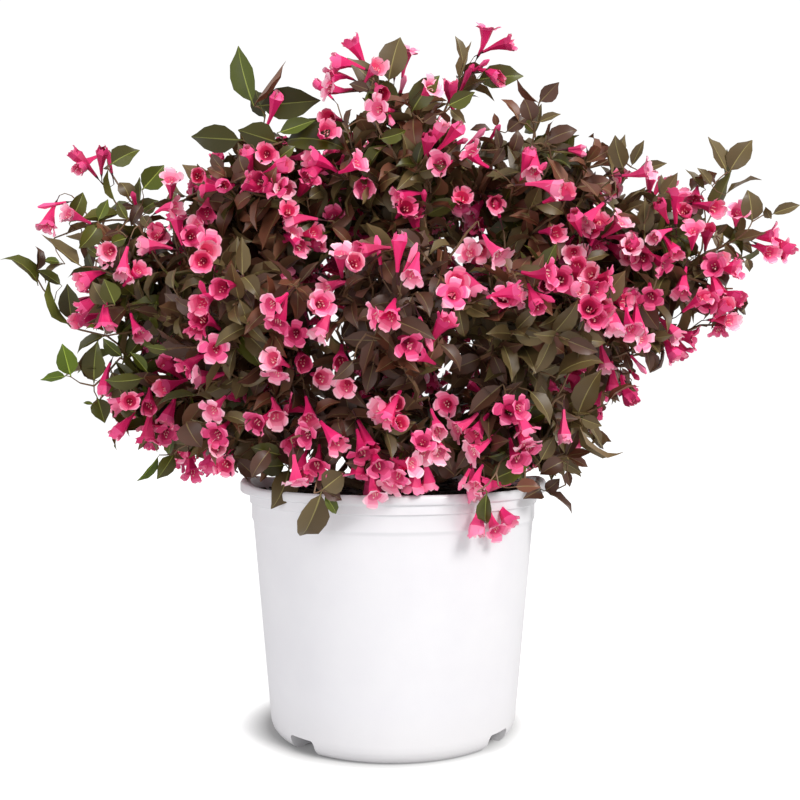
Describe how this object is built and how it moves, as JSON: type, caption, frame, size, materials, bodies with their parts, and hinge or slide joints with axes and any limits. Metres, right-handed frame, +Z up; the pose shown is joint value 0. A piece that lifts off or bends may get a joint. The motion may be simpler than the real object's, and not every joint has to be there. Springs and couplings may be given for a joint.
{
  "type": "potted weigela shrub",
  "caption": "Flowering weigela shrub in a round tapered nursery pot: arching stems, bronze leaves and trumpet blossom in masses, on a flat base.",
  "frame": {"origin": "middle of the pot's flat underside", "axes": "+Z up, +X to the right along the crown's widest spread, -Y to the front, the fuller and better flowered side"},
  "size_m": [0.787, 0.5272, 0.6882],
  "materials": {
    "pot": "satin white polyethylene",
    "potting_mix": "dark damp bark mix",
    "bark": "tan-brown bark, greener and redder on young shoots",
    "foliage": "bronze-brown and dark green leaves with pink blossom"
  },
  "bodies": {
    "root": {"pot": "pot", "potting_mix": "potting_mix", "root_crown": "bark", "foliage_front_centre": "foliage", "foliage_front_left": "foliage", "foliage_front_right": "foliage", "foliage_low_front": "foliage", "foliage_low_front_left": "foliage", "foliage_low_front_right": "foliage", "foliage_upper_left": "foliage", "foliage_upper_centre": "foliage", "foliage_upper_right": "foliage", "foliage_left": "foliage", "foliage_low_left": "foliage", "foliage_right_shoulder": "foliage", "foliage_right": "foliage", "foliage_low_right": "foliage", "foliage_back_centre": "foliage", "foliage_back_top": "foliage", "foliage_back_left": "foliage", "foliage_back_right": "foliage", "foliage_low_back": "foliage", "foliage_low_back_left": "foliage", "foliage_low_back_right": "foliage", "spray_far_left": "foliage", "spray_left_blooms": "foliage", "spray_left_upper": "foliage", "spray_left_lower": "foliage", "spray_top_left": "foliage", "spray_left_shoulder": "foliage", "spray_top_centre": "foliage", "spray_top_right": "foliage", "spray_upper_right": "foliage", "spray_right_upper": "foliage", "spray_right_leafy": "foliage", "spray_far_right": "foliage", "spray_right_blooms": "foliage", "spray_right_lower": "foliage", "spray_low_right": "foliage", "spray_rim_far_right": "foliage", "spray_rim_right": "foliage", "spray_rim_left": "foliage", "spray_back_left": "foliage", "spray_back_right": "foliage", "spray_back_top": "foliage", "spray_back": "foliage", "bough_front_centre": "bark", "bough_front_left": "bark", "bough_front_right": "bark", "bough_left": "bark", "bough_right": "bark", "bough_back_left": "bark", "bough_back_right": "bark", "bough_back_centre": "bark", "bough_upper_left": "bark", "bough_upper_centre": "bark", "bough_upper_right": "bark", "bough_low_left": "bark", "bough_low_right": "bark", "shoot_far_left": "bark"}
  },
  "joints": []
}
